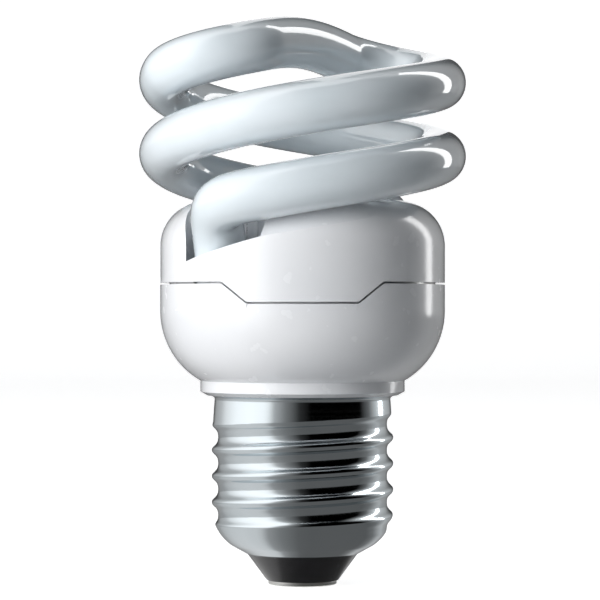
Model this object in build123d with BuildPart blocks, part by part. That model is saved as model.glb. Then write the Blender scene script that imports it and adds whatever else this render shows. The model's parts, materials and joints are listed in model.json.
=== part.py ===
from build123d import *

import os
from math import asin, cos, degrees, pi, radians, sin, sqrt, tan

os.makedirs("parts", exist_ok=True)

# Spiral compact fluorescent lamp with an E27 screw cap.
# Millimetres. The origin is the middle of the bottom contact's lower face,
# +Z runs up the lamp's axis to the top of the spiral, and -Y is the front.
# Angles are counter-clockwise seen from above, with 0 along +X.

# Discharge tube: two legs wound as a double right-handed helix, joined over the top
tube_radius = 3.7
coil_radius = 19.7
coil_pitch = 21.06
coil_start_angle = 247.0
coil_start_rise = 11.78
coil_end_angle = 557.3
top_bend_radius = 7.54
bridge_rise = 4.57
leg_angle = 222.8
leg_stand = 2.6
leg_bend_drop = 2.1
leg_bend_step = 0.6
leg_bend_pull = 9.58
coil_entry_pull = 6.86
coil_arcs = 16
tube_end_rounding = 1.6
lead_hole_spacing = 2.6
lead_hole_depth = 2.4

# Covers: one wall size, the seam between them and its dip
cover_radius = 20.4
cover_wall = 1.2
seam_rise = 3.9
seam_gap = 0.28
seam_dip_depth = 2.8
seam_dip_bottom_half_width = 7.65
seam_dip_top_half_width = 11.1
seam_corner_radius = 0.6

# Upper cover: rounded shoulder, central hub, and one ramp and one leg pocket for each leg
shoulder_radius = 6.4
shoulder_rise = 5.4
hub_rise = 3.335
hub_foot_angle = 84.0
hub_slope = 1.15
hub_edge_radius = 1.2
ramp_start_angle = 253.6
ramp_end_angle = 383.0
ramp_start_slope = 0.87
ramp_end_slope = 1.08
ridge_drop = 2.225
ridge_front_angle = 270.0
slot_ridge_rise = 0.0912
pocket_radius = 5.1
pocket_inner_radius = 11.4
pocket_floor_rise = 2.5
pocket_floor_thickness = 1.2
pocket_wall = 1.0
pocket_rim_wall = 1.1
leg_hole_clearance = 0.25
leaf_tuck = 0.8
leaf_tuck_start_angle = 182.0
clamp_post_radius = 1.5
clamp_post_inset = 6.4
clamp_post_angle = 315.0

# Lower cover: bowl, collar, spigot and neck inside the cap
bowl_radius = 11.5
collar_height = 2.04
collar_radius = 14.65
collar_bottom = 27.2
collar_chamfer = 0.5
spigot_height = 2.4
spigot_foot_gap = 0.2
spigot_clearance = 0.12
neck_radius = 11.3
neck_wall = 1.3
neck_bottom = 14.0
lip_wall = 0.95
lip_height = 1.1
lip_clearance = 0.15
board_rib_width = 1.2
board_rib_count = 4
board_rib_angle = 20.0
board_rib_reach = 2.2
lip_leg_clearance = 0.4
neutral_slot_width = 1.2
neutral_slot_height = 5.0

# E27 cap shell, rolled from thin sheet
cap_sheet = 0.35
thread_crest_radius = 13.1
thread_root_radius = 12.1
thread_pitch = 3.629
thread_root_height_left = 21.08
thread_turns_below = 4.2
thread_end_angle = 400.0
thread_crest_land = 0.12
skirt_top_radius = 12.6
skirt_bottom_radius = 12.9
skirt_bottom = 23.2
rim_radius = 13.75
rim_flare = 1.1
cap_curve_height = 10.4
cap_shoulder_radius = 10.2
cap_shoulder_height = 5.7
cap_mouth_radius = 7.95
cap_mouth_height = 4.45
cap_curve_bulge = 0.4
barrel_step = 0.6

# Cap insulator, bottom contact and its solder
insulator_tip_radius = 5.2
insulator_top = 7.0
insulator_flange_radius = 9.5
contact_radius = 4.9
contact_thickness = 0.7
contact_edge_radius = 0.25
eyelet_radius = 1.6
eyelet_bore_radius = 0.7
eyelet_top = 8.2
solder_radius = 1.35
solder_height = 0.9
solder_depth = 1.2
seat_clearance = 0.03

# How far a cutting form reaches past what it cuts
cut_margin = 5.0

# Cement round the legs
cement_width = 1.3

# Circuit board and the pins through it
board_clearance = 0.5
board_thickness = 1.6
board_drop = 2.2
standoff = 0.3
pin_radius = 0.3
pin_hole_clearance = 0.1
pin_root = 0.4
pin_stand = 0.1

# Bulk capacitor, which hangs into the neck
bulk_capacitor_radius = 4.5
bulk_capacitor_length = 15.5
bulk_capacitor_x = -4.6
capacitor_pin_pitch = 5.0
bead_drop = 1.6
bead_depth = 0.3
can_edge_radius = 0.5

# Main choke
choke_x = 5.4
choke_width = 10.2
choke_depth = 10.4
choke_height = 4.8
choke_middle_leg = 2.6
choke_outer_leg = 1.3
choke_back = 1.7
choke_pin_side = 3.1
bobbin_wall = 0.5
bobbin_clearance = 0.1
bobbin_flange_height = 8.0
winding_inset = 0.3
winding_corner_radius = 1.0

# Drive transformer
toroid_angle = 100.0
toroid_inset = 6.0
toroid_outer_radius = 3.6
toroid_inner_radius = 1.8
toroid_height = 2.6
toroid_edge_radius = 0.25
toroid_wire_radius = 0.3
toroid_windings = 3
toroid_turns = 3
toroid_turn_step = 26.0

# Transistors
transistor_width = 4.6
transistor_depth = 3.6
transistor_height = 4.6
transistor_inset = 5.6
transistor_angles = (58.0, 142.0)
transistor_pin_pitch = 1.5

# Film capacitors
film_width = 7.4
film_depth = 3.4
film_height = 4.8
film_edge_radius = 0.7
film_inset = 5.0
resonant_capacitor_angle = 292.0
blocking_capacitor_angle = 248.0
film_pin_pitch = 5.0

# Mains filter inductor
drum_radius = 2.2
drum_height = 4.6
drum_flange = 0.8
drum_core_radius = 1.3
drum_angle = 180.0
drum_inset = 3.9
drum_pin_pitch = 3.0

# Diodes, diac and resistors on top of the board
lying_gap = 0.25
lead_bend_radius = 0.5
diode_lead_radius = 0.3
diode_radius = 1.25
diode_length = 4.4
diode_reach = 3.9
diode_spacing = 2.9
diode_x = -2.6
diode_y = -7.4
diac_radius = 0.9
diac_length = 3.2
diac_reach = 2.8
diac_inset = 4.1
diac_y = -1.0
resistor_radius = 0.85
resistor_length = 3.2
resistor_reach = 2.8
resistor_count = 4
resistor_spacing = 2.6
resistor_x = -5.2
resistor_inset = 5.2

# Fusible resistor, its sleeve and the two supply leads
fuse_x = 3.5
fuse_y = -6.2
fuse_radius = 1.7
fuse_length = 8.5
fuse_bottom = 15.5
fuse_edge_radius = 0.4
sleeve_wall = 0.4
sleeve_overhang = 1.5
lead_radius = 0.4
live_turn_height = 12.8
live_entry_height = 11.4
live_bend_radius = 1.5
neutral_angle = 40.0
neutral_drop_radius = 9.2
neutral_turn_drop = 0.5

# Posts and wires of the tube's two filaments
post_side = 0.7
post_height = 1.9
filament_wire_radius = 0.25


def polar(radius, angle, height=0.0):
    return Vector(radius * cos(radians(angle)), radius * sin(radians(angle)), height)


def radial_plane(angle):
    """The upright plane through the axis at this angle: x runs outwards and y up."""
    across = polar(1, angle)
    return Plane(origin=(0, 0, 0), x_dir=across, z_dir=(across.Y, -across.X, 0))


# Sizes that follow from those above, each height carried by what lies under it
bowl_centre_radius = cover_radius - bowl_radius
bowl_height = collar_bottom + collar_height + sqrt(bowl_radius**2 - (collar_radius - bowl_centre_radius) ** 2)
seam_height = bowl_height + seam_rise
dip_height = seam_height - seam_dip_depth
shoulder_height = seam_height + shoulder_rise
shoulder_centre_radius = cover_radius - shoulder_radius
shoulder_top = shoulder_height + shoulder_radius * sin(radians(hub_foot_angle))
hub_foot_radius = shoulder_centre_radius + shoulder_radius * cos(radians(hub_foot_angle))
hub_height = shoulder_top + hub_rise
lip_outer_radius = cover_radius - cover_wall - lip_clearance
lip_inner_radius = lip_outer_radius - lip_wall
lip_top = seam_height + lip_height
board_radius = lip_inner_radius - board_clearance
board_bottom = bowl_height - board_drop
board_top = board_bottom + board_thickness
pocket_floor_height = seam_height + pocket_floor_rise
leg_circle_radius = cover_radius - pocket_radius
leg_bottom = board_top + leg_stand
leg_bend_height = pocket_floor_height - leg_bend_drop
coil_start_height = seam_height + coil_start_rise


def shoulder_reach(height):
    """Radius of the upper cover's outer face at this height."""
    if height <= shoulder_height:
        return cover_radius
    if height >= shoulder_top:
        return hub_foot_radius - (height - shoulder_top) / hub_slope
    rise = height - shoulder_height
    return shoulder_centre_radius + sqrt(shoulder_radius**2 - rise**2)


def coil_height(angle):
    return coil_start_height + coil_pitch * (angle - coil_start_angle) / 360


def half_turned(part):
    """The same form for the other leg, half a turn round the axis."""
    return part.rotate(Axis.Z, 180)


bridge_height = coil_height(coil_end_angle) + bridge_rise
ramp_rise = coil_pitch / 360
ridge_height_front = coil_height(ridge_front_angle) - tube_radius - ridge_drop
ridge_height_start = ridge_height_front + ramp_rise * (ramp_start_angle - ridge_front_angle)


# Route of the glass tube: straight leg, bend, helix, top bend, bridge, and the same again half a turn round
def coil_tangent(angle):
    climb = coil_pitch / (2 * pi * coil_radius)
    return Vector(-sin(radians(angle)), cos(radians(angle)), climb).normalized()


top_bend_circle = coil_radius - top_bend_radius
top_bend_offset = asin(top_bend_radius / top_bend_circle)
top_bend_turn = pi / 2 + top_bend_offset
top_bend_length = top_bend_radius * top_bend_turn
bridge_half_length = top_bend_circle * cos(top_bend_offset)
top_climb_length = top_bend_length + bridge_half_length


def top_height(travelled):
    """Height of the tube's middle from the end of the helix to the axis, a smooth step with no slope at the axis."""
    share = travelled / top_climb_length
    start = coil_height(coil_end_angle)
    start_slope = coil_pitch / (2 * pi * coil_radius) * top_climb_length
    step = 3 * share**2 - 2 * share**3
    return start + (bridge_height - start) * step + start_slope * share * (1 - share) ** 2


def leg_route():
    """Corner points of one leg's route, from its sealed end to the middle of the bridge."""
    leg_end = polar(leg_circle_radius, leg_angle, leg_bottom)
    bend_start = polar(leg_circle_radius, leg_angle, leg_bend_height)
    coil_start = polar(coil_radius, coil_start_angle, coil_start_height)
    bend = Bezier(
        bend_start,
        bend_start + Vector(0, 0, leg_bend_pull),
        coil_start - coil_tangent(coil_start_angle) * coil_entry_pull,
        coil_start,
        mode=Mode.PRIVATE,
    )
    bend_shares = (0.16, 0.34, 0.5, 0.66, 0.84)
    corners = [leg_end, bend_start + Vector(0, 0, leg_bend_step)]
    corners += [bend @ share for share in bend_shares]

    arc_step = (coil_end_angle - coil_start_angle) / coil_arcs
    corner_radius = coil_radius / cos(radians(arc_step / 2))
    for arc in range(coil_arcs):
        angle = coil_start_angle + arc_step * (arc + 0.5)
        corners.append(polar(corner_radius, angle, coil_height(angle)))

    bend_middle = polar(top_bend_circle, coil_end_angle)
    bend_arcs = 5
    bend_step = top_bend_turn / bend_arcs
    for arc in range(bend_arcs):
        turned = bend_step * (arc + 0.5)
        reach = top_bend_radius / cos(bend_step / 2)
        corner = bend_middle + polar(reach, coil_end_angle + degrees(turned))
        corners.append(Vector(corner.X, corner.Y, top_height(top_bend_radius * turned)))
    bridge_angle = coil_end_angle + degrees(top_bend_turn) - 90
    corners.append(polar(bridge_half_length * 0.35, bridge_angle, bridge_height))
    return corners


def rounded_route(corners):
    """Straight runs joined by arcs as large as the runs beside each corner allow."""
    here = corners[0]
    for before, corner, after in zip(corners, corners[1:], corners[2:]):
        arriving = (corner - before).normalized()
        leaving = (after - corner).normalized()
        setback = min((corner - before).length, (after - corner).length) / 2
        half_turn = radians(arriving.get_angle(leaving)) / 2
        inset = setback / tan(half_turn) * (1 / cos(half_turn) - 1)
        arc_start = corner - arriving * setback
        arc_end = corner + leaving * setback
        if (arc_start - here).length > 0.001:
            Line(here, arc_start)
        ThreePointArc(arc_start, corner + (leaving - arriving).normalized() * inset, arc_end)
        here = arc_end
    Line(here, corners[-1])


leg_corners = leg_route()
other_leg_corners = [Vector(-p.X, -p.Y, p.Z) for p in reversed(leg_corners)]
leg_place = polar(leg_circle_radius, leg_angle)
leg_places = [(leg_place.X, leg_place.Y), (-leg_place.X, -leg_place.Y)]
# the four lead wires leave the sealed ends side by side, along each leg's own radius
lead_places = [
    polar(leg_circle_radius + side * lead_hole_spacing / 2, leg_angle + turn)
    for turn in (0, 180)
    for side in (-1, 1)
]

with BuildPart() as discharge_tube:
    with BuildLine() as tube_route:
        rounded_route(leg_corners + other_leg_corners)
    with BuildSketch(Plane.XY.offset(leg_bottom)):
        with Locations(leg_places[0]):
            Circle(tube_radius)
    sweep(path=tube_route.wires()[0])
    fillet(discharge_tube.edges().group_by(Axis.Z)[0], tube_end_rounding)
    with Locations([(p.X, p.Y, leg_bottom + lead_hole_depth / 2) for p in lead_places]):
        Cylinder(filament_wire_radius, lead_hole_depth, mode=Mode.SUBTRACT)
discharge_tube.part.label = "discharge_tube"
export_step(discharge_tube.part, "parts/discharge_tube.step")


def under_seam(drop):
    """All that lies under the seam line, with its dips at front and back, when it is lowered by drop."""
    side = cover_radius + cut_margin
    level = seam_height - drop
    dip = dip_height - drop
    with BuildPart() as region:
        with BuildSketch(Plane.XZ.offset(side)) as outline:
            with BuildLine():
                seam = Polyline(
                    (-side, level),
                    (-seam_dip_top_half_width, level),
                    (-seam_dip_bottom_half_width, dip),
                    (seam_dip_bottom_half_width, dip),
                    (seam_dip_top_half_width, level),
                    (side, level),
                )
                Polyline(seam @ 1, (side, 0), (-side, 0), seam @ 0)
            make_face()
            corners = [v for v in outline.vertices() if abs(v.X) < side - 1]
            fillet(corners, seam_corner_radius)
        extrude(amount=-2 * side)
    return region.part


def cover_form(inset):
    """Upper cover's turned form, from below the seam dip to the hub's top, drawn inset from its outer face."""
    arc_end = radians(hub_foot_angle)
    arc_radius = shoulder_radius - inset
    foot_radius = shoulder_centre_radius + arc_radius * cos(arc_end)
    foot_height = shoulder_height + arc_radius * sin(arc_end)
    top = hub_height - inset
    hub_top_radius = foot_radius - (top - foot_height) / hub_slope
    middle = radians(hub_foot_angle / 2)
    with BuildPart() as form:
        with BuildSketch(Plane.XZ) as half:
            with BuildLine():
                wall = Line((cover_radius - inset, dip_height - 2), (cover_radius - inset, shoulder_height))
                shoulder = ThreePointArc(
                    wall @ 1,
                    (
                        shoulder_centre_radius + arc_radius * cos(middle),
                        shoulder_height + arc_radius * sin(middle),
                    ),
                    (foot_radius, foot_height),
                )
                Polyline(shoulder @ 1, (hub_top_radius, top), (0, top), (0, dip_height - 2), wall @ 0)
            make_face()
            hub_edge = [v for v in half.vertices() if abs(v.X - hub_top_radius) < 0.01]
            fillet(hub_edge, hub_edge_radius)
        revolve(axis=Axis.Z)
    return form.part


def ramp_cut(drop):
    """What the tube's ramp takes off the shoulder: open upwards, its floor rising towards the hub."""
    steps = 12
    clear_radius = cover_radius + cut_margin
    ramp_top = ridge_height_front + ramp_rise * (ramp_end_angle - ridge_front_angle)
    clear_height = ramp_top + ramp_end_slope * clear_radius + cut_margin
    with BuildPart() as cut:
        for step in range(steps + 1):
            share = step / steps
            angle = ramp_start_angle + (ramp_end_angle - ramp_start_angle) * share
            slope = ramp_start_slope + (ramp_end_slope - ramp_start_slope) * share
            ridge = ridge_height_front + ramp_rise * (angle - ridge_front_angle)
            reach = shoulder_reach(ridge)
            inner_floor = ridge + slope * (reach - pocket_inner_radius + 1)
            with BuildSketch(radial_plane(angle)):
                Polygon(
                    (reach, ridge - drop),
                    (clear_radius, ridge - drop),
                    (clear_radius, clear_height),
                    (pocket_inner_radius - 1, clear_height),
                    (pocket_inner_radius - 1, inner_floor - drop),
                    align=None,
                )
        loft()
    return cut.part


def slot_ridge_height(angle):
    """Height of the rim in front of the leg's pocket, which falls to the seam past the leg."""
    return ridge_height_start + slot_ridge_rise * (angle - ramp_start_angle)


def above_slot_ridge(start_angle, end_angle, inner_radius):
    """Region above the rim line between two angles, from a radius outwards."""
    steps = 6
    clear_radius = cover_radius + cut_margin
    with BuildPart() as region:
        for step in range(steps + 1):
            angle = start_angle + (end_angle - start_angle) * step / steps
            with BuildSketch(radial_plane(angle)):
                Polygon(
                    (inner_radius, slot_ridge_height(angle)),
                    (clear_radius, slot_ridge_height(angle)),
                    (clear_radius, hub_height + cut_margin),
                    (inner_radius, hub_height + cut_margin),
                    align=None,
                )
        loft()
    return region.part


def pocket_plan(grow):
    """Plan of the leg's pocket: a round end about the leg and a slot along the coil to the ramp's start."""
    outer = cover_radius - pocket_rim_wall
    slot_turn = ramp_start_angle - leg_angle
    wall_turn = degrees(grow / outer)
    with BuildSketch(mode=Mode.PRIVATE) as plan:
        with Locations(leg_places[0]):
            Circle(pocket_radius + grow)
        with BuildSketch() as slot:
            Circle(outer + 3)
            Circle(pocket_inner_radius - grow, mode=Mode.SUBTRACT)
            with BuildSketch(mode=Mode.INTERSECT):
                with BuildLine():
                    far = 40
                    Polyline(
                        (0, 0),
                        polar(far, leg_angle),
                        polar(far, leg_angle + slot_turn / 2),
                        polar(far, ramp_start_angle + wall_turn),
                        (0, 0),
                    )
                make_face()
    return plan.sketch


def pocket_cut(grow):
    """The pocket below the rim line, open upwards, inside the cover's wall."""
    floor = pocket_floor_height - (pocket_floor_thickness if grow else 0)
    with BuildPart() as cut:
        with BuildSketch(Plane.XY.offset(floor)):
            add(pocket_plan(grow))
            Circle(cover_radius - pocket_rim_wall, mode=Mode.INTERSECT)
        extrude(amount=hub_height + cut_margin - floor)
    return cut.part


def slot_mouth():
    """The opening above the rim line, where the leg comes in over the wall."""
    with BuildPart() as cut:
        with BuildSketch(Plane.XY.offset(seam_height)):
            add(pocket_plan(0))
        extrude(amount=hub_height + cut_margin - seam_height)
        add(above_slot_ridge(leaf_tuck_start_angle, ramp_start_angle + 2, pocket_inner_radius - cut_margin), mode=Mode.INTERSECT)
    return cut.part


def leaf_tuck_cut():
    """The sliver that tucks the end of one leaf in behind the rim of the other."""
    end_angle = leg_angle
    with BuildPart() as cut:
        add(above_slot_ridge(leaf_tuck_start_angle, end_angle, pocket_inner_radius - cut_margin))
        add(cover_form(0).moved(Location((0, leaf_tuck, 0))), mode=Mode.SUBTRACT)
    return cut.part


ramp = ramp_cut(0)
ramp_inside = ramp_cut(cover_wall * sqrt(1 + ramp_start_slope**2))
pocket = pocket_cut(0)
pocket_inside = pocket_cut(pocket_wall)
mouth = slot_mouth()
tuck = leaf_tuck_cut()

with BuildPart() as cover_cavity:
    add(cover_form(cover_wall))
    for solid_form in (ramp_inside, pocket_inside):
        add(solid_form, mode=Mode.SUBTRACT)
        add(half_turned(solid_form), mode=Mode.SUBTRACT)

with BuildPart() as clamp_posts:
    with BuildSketch(Plane.XY.offset(board_top + seat_clearance)):
        with PolarLocations(cover_radius - clamp_post_inset, 2, start_angle=clamp_post_angle):
            Circle(clamp_post_radius)
    extrude(amount=hub_height - board_top)
    add(cover_cavity.part, mode=Mode.INTERSECT)

with BuildPart() as upper_cover:
    add(cover_form(0))
    for cut_form in (tuck, ramp, mouth, pocket):
        add(cut_form, mode=Mode.SUBTRACT)
        add(half_turned(cut_form), mode=Mode.SUBTRACT)
    add(cover_cavity.part, mode=Mode.SUBTRACT)
    add(under_seam(-seam_gap / 2), mode=Mode.SUBTRACT)
    with Locations([(x, y, pocket_floor_height) for x, y in leg_places]):
        Cylinder(tube_radius + leg_hole_clearance, 2 * pocket_floor_thickness + 1, mode=Mode.SUBTRACT)
    add(clamp_posts.part)
upper_cover.part.label = "upper_cover"
export_step(upper_cover.part, "parts/upper_cover.step")


# Lower cover: turned bowl with collar, spigot and neck, a lip behind the seam and ribs under the board
spigot_radius = skirt_top_radius - cap_sheet - spigot_clearance
neck_inner_radius = neck_radius - neck_wall
bowl_inner_radius = bowl_radius - neck_wall


def bowl_drop(radius, arc_radius):
    """Height of a bowl arc at this distance from the axis."""
    return bowl_height - sqrt(arc_radius**2 - (radius - bowl_centre_radius) ** 2)


def bowl_arc(start_radius, end_radius, arc_radius):
    """Arc of the bowl between two distances from the axis."""
    middle = (start_radius + end_radius) / 2
    return ThreePointArc(
        (start_radius, bowl_drop(start_radius, arc_radius)),
        (middle, bowl_drop(middle, arc_radius)),
        (end_radius, bowl_drop(end_radius, arc_radius)),
    )


with BuildPart() as bowl_form:
    with BuildSketch(Plane.XZ):
        with BuildLine():
            outer_bowl = bowl_arc(cover_radius - 0.001, collar_radius, bowl_radius)
            Polyline(
                outer_bowl @ 1,
                (collar_radius, collar_bottom + collar_chamfer),
                (rim_radius, collar_bottom),
                (spigot_radius, collar_bottom),
                (spigot_radius, collar_bottom - spigot_height),
                (neck_radius, collar_bottom - spigot_height),
                (neck_radius, neck_bottom),
                (0, neck_bottom),
                (0, lip_top),
                (cover_radius, lip_top),
                (cover_radius, bowl_height),
                outer_bowl @ 0,
            )
        make_face()
    revolve(axis=Axis.Z)

with BuildPart() as bowl_cavity:
    with BuildSketch(Plane.XZ):
        with BuildLine():
            inner_bowl = bowl_arc(lip_inner_radius, neck_inner_radius, bowl_inner_radius)
            Polyline(
                inner_bowl @ 1,
                (neck_inner_radius, neck_bottom - 1),
                (0, neck_bottom - 1),
                (0, lip_top + 1),
                (lip_inner_radius, lip_top + 1),
                inner_bowl @ 0,
            )
        make_face()
    revolve(axis=Axis.Z)

with BuildPart() as board_ribs:
    with BuildSketch(Plane.XY.offset(bowl_drop(collar_radius, bowl_radius))):
        with PolarLocations(lip_inner_radius, board_rib_count, start_angle=board_rib_angle):
            Rectangle(2 * board_rib_reach, board_rib_width)
    extrude(amount=board_bottom - seat_clearance - bowl_drop(collar_radius, bowl_radius))
    add(bowl_form.part, mode=Mode.INTERSECT)

with BuildPart() as lower_cover:
    add(bowl_form.part)
    add(under_seam(seam_gap / 2), mode=Mode.INTERSECT)
    with BuildSketch(Plane.XY.offset(board_bottom)):
        Circle(lip_outer_radius)
    extrude(amount=lip_top - board_bottom)
    add(bowl_cavity.part, mode=Mode.SUBTRACT)
    with Locations([(x, y, (board_top + lip_top + 1) / 2) for x, y in leg_places]):
        Cylinder(tube_radius + lip_leg_clearance, lip_top + 1 - board_top, mode=Mode.SUBTRACT)
    with Locations(Plane(polar(neck_radius, neutral_angle, neck_bottom), x_dir=polar(1, neutral_angle))):
        Box(2.5 * neck_wall, neutral_slot_width, 2 * neutral_slot_height, mode=Mode.SUBTRACT)
    add(board_ribs.part)
lower_cover.part.label = "lower_cover"
export_step(lower_cover.part, "parts/lower_cover.step")


# Cap shell: a turned form of thin sheet with the thread rolled into its outer face
def cap_turned(inset):
    """The cap before its thread is rolled, drawn inset from its outer face. Inside, it clears the thread's root."""
    inside = inset > 0
    bottom_slope = (cap_shoulder_height - cap_mouth_height) / (cap_shoulder_radius - cap_mouth_radius)
    lean = 1 / sqrt(1 + bottom_slope**2)
    shift = Vector(-inset * bottom_slope * lean, inset * lean)
    shoulder = Vector(cap_shoulder_radius, cap_shoulder_height) + shift
    mouth = Vector(cap_mouth_radius, cap_mouth_height) + shift
    barrel_radius = thread_root_radius - inset if inside else thread_crest_radius
    curve_start = Vector(barrel_radius, cap_curve_height)
    curve_middle = (curve_start + shoulder) / 2 + Vector(cap_curve_bulge, -cap_curve_bulge)
    flare = rim_flare + inset
    flare_height = collar_bottom - seat_clearance - cap_sheet - rim_flare
    half_flare = flare * sin(pi / 4)
    top = collar_bottom + 1 if inside else collar_bottom - seat_clearance
    neck_bottom = collar_bottom - spigot_height - spigot_foot_gap if inside else skirt_bottom
    neck_bottom_radius = skirt_top_radius if inside else skirt_bottom_radius
    with BuildPart() as form:
        with BuildSketch(Plane.XZ):
            with BuildLine():
                rim = ThreePointArc(
                    (rim_radius, flare_height + flare),
                    (rim_radius - half_flare, flare_height + half_flare),
                    (rim_radius - flare, flare_height),
                )
                skirt = Polyline(
                    rim @ 1,
                    (neck_bottom_radius - inset, neck_bottom),
                    (barrel_radius, neck_bottom - barrel_step),
                    curve_start,
                )
                curve = ThreePointArc(skirt @ 1, curve_middle, shoulder)
                Polyline(curve @ 1, mouth, (0, mouth.Y), (0, top), (rim_radius, top), rim @ 0)
            make_face()
        revolve(axis=Axis.Z)
    return form.part


# The rounded groove between two crests is swept up the cap, from below the barrel to its neck
groove_start_angle = 180 - 360 * thread_turns_below
groove_start_height = thread_root_height_left - thread_pitch * thread_turns_below
groove_turns = (thread_end_angle - groove_start_angle) / 360
groove_wave = (thread_crest_radius - thread_root_radius) / 2
groove_middle_radius = thread_crest_radius - groove_wave
groove_edge = thread_pitch / 2 - 2 * thread_crest_land
groove_side = thread_pitch / 2 - thread_crest_land / 2
groove_reach = thread_crest_radius + cap_sheet

with BuildLine() as groove_turned:
    Helix(
        pitch=thread_pitch,
        height=thread_pitch * groove_turns,
        radius=groove_middle_radius,
        center=(0, 0, groove_start_height),
    )

with BuildPart() as thread_groove:
    with BuildLine() as groove_path:
        add(groove_turned.line.rotate(Axis.Z, groove_start_angle))
    with BuildSketch(radial_plane(groove_start_angle)):
        with BuildLine():
            root = Spline(
                [
                    (
                        groove_middle_radius - groove_wave * cos(2 * pi * offset / thread_pitch),
                        groove_start_height + offset,
                    )
                    for offset in (-groove_edge, -groove_edge / 2, 0, groove_edge / 2, groove_edge)
                ]
            )
            Polyline(
                root @ 1,
                (groove_reach, groove_start_height + groove_side),
                (groove_reach, groove_start_height - groove_side),
                root @ 0,
            )
        make_face()
    sweep(path=groove_path.wires()[0], is_frenet=True)

with BuildPart() as cap_shell:
    add(cap_turned(0))
    add(thread_groove.part, mode=Mode.SUBTRACT)
    add(cap_turned(cap_sheet), mode=Mode.SUBTRACT)
    with Locations((0, 0, cap_mouth_height)):
        Cylinder(cap_mouth_radius, 4 * cap_sheet, mode=Mode.SUBTRACT)
cap_shell.part.label = "cap_shell"
export_step(cap_shell.part, "parts/cap_shell.step")


# Glass insulator fused into the cap's mouth, and the bottom contact with its hollow eyelet
mouth_slope = (cap_shoulder_height - cap_mouth_height) / (cap_shoulder_radius - cap_mouth_radius)
mouth_lean = sqrt(1 + mouth_slope**2)
flange_seat = cap_mouth_height + (cap_sheet + seat_clearance) * mouth_lean
insulator_mouth_radius = cap_mouth_radius - seat_clearance

with BuildPart() as cap_insulator:
    with BuildSketch(Plane.XZ):
        with BuildLine():
            Polyline(
                (eyelet_radius + seat_clearance, contact_thickness + seat_clearance),
                (insulator_tip_radius, contact_thickness + seat_clearance),
                (insulator_mouth_radius, cap_mouth_height),
                (insulator_mouth_radius, flange_seat),
                (insulator_flange_radius, flange_seat + mouth_slope * (insulator_flange_radius - cap_mouth_radius)),
                (insulator_flange_radius, insulator_top),
                (eyelet_radius + seat_clearance, insulator_top),
                close=True,
            )
        make_face()
    revolve(axis=Axis.Z)
cap_insulator.part.label = "cap_insulator"
export_step(cap_insulator.part, "parts/cap_insulator.step")

with BuildPart() as centre_contact:
    with BuildSketch():
        Circle(contact_radius)
    extrude(amount=contact_thickness)
    fillet(centre_contact.edges().group_by(Axis.Z)[0], contact_edge_radius)
    with BuildSketch(Plane.XY.offset(contact_thickness)):
        Circle(eyelet_radius)
    extrude(amount=eyelet_top - contact_thickness)
    with Locations((0, 0, eyelet_top)):
        Hole(eyelet_bore_radius, depth=eyelet_top - contact_thickness)
centre_contact.part.label = "centre_contact"
export_step(centre_contact.part, "parts/centre_contact.step")

with BuildPart() as contact_solder:
    with BuildSketch(Plane.XZ):
        with BuildLine():
            dome = ThreePointArc(
                (solder_radius, eyelet_top),
                (solder_radius * 0.8, eyelet_top + solder_height * 0.6),
                (lead_radius, eyelet_top + solder_height),
            )
            Polyline(
                dome @ 1,
                (lead_radius, eyelet_top - solder_depth),
                (eyelet_bore_radius, eyelet_top - solder_depth),
                (eyelet_bore_radius, eyelet_top),
                dome @ 0,
            )
        make_face()
    revolve(axis=Axis.Z)
contact_solder.part.label = "contact_solder"
export_step(contact_solder.part, "parts/contact_solder.step")


# Cement that holds each leg under its pocket
with BuildPart() as tube_cement:
    with BuildSketch(Plane.XY.offset(leg_bottom + tube_end_rounding)):
        with Locations(leg_places):
            Circle(tube_radius + cement_width)
        Circle(lip_inner_radius - seat_clearance, mode=Mode.INTERSECT)
        with Locations(leg_places):
            Circle(tube_radius + seat_clearance, mode=Mode.SUBTRACT)
    cement_top = pocket_floor_height - pocket_floor_thickness - seat_clearance
    extrude(amount=cement_top - leg_bottom - tube_end_rounding)
tube_cement.part.label = "tube_cement"
export_step(tube_cement.part, "parts/tube_cement.step")


# Parts under the board hang from pins. A pin is set into its part and trimmed just above the board.
under_board = board_bottom - standoff
pin_places = []


def pins(places):
    """Round pins of the part being built, at these places, up through the board."""
    pin_places.extend(places)
    pin_length = pin_root + standoff + board_thickness + pin_stand
    with Locations([(x, y, under_board - pin_root) for x, y in places]):
        Cylinder(pin_radius, pin_length, align=(Align.CENTER, Align.CENTER, Align.MIN))


def side_by_side(middle, angle, spacing, count=2):
    """Places in a row across the radius at this angle, as x, y pairs."""
    across = polar(1, angle + 90)
    offsets = [spacing * (place - (count - 1) / 2) for place in range(count)]
    return [(middle.X + across.X * offset, middle.Y + across.Y * offset) for offset in offsets]


with BuildPart() as bulk_capacitor:
    with BuildSketch(Plane.XZ.shift_origin((bulk_capacitor_x, 0, 0))):
        with BuildLine():
            bottom = under_board - bulk_capacitor_length
            bead_height = under_board - bead_drop
            Polyline(
                (0, bottom),
                (bulk_capacitor_radius, bottom),
                (bulk_capacitor_radius, bead_height - bead_depth),
                (bulk_capacitor_radius - bead_depth, bead_height),
                (bulk_capacitor_radius, bead_height + bead_depth),
                (bulk_capacitor_radius, under_board),
                (0, under_board),
                close=True,
            )
        make_face()
    revolve(axis=Axis((bulk_capacitor_x, 0, 0), (0, 0, 1)))
    fillet(bulk_capacitor.edges().group_by(Axis.Z)[0], can_edge_radius)
    pins([(bulk_capacitor_x, -capacitor_pin_pitch / 2), (bulk_capacitor_x, capacitor_pin_pitch / 2)])
bulk_capacitor.part.label = "bulk_capacitor"
export_step(bulk_capacitor.part, "parts/bulk_capacitor.step")


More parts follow.
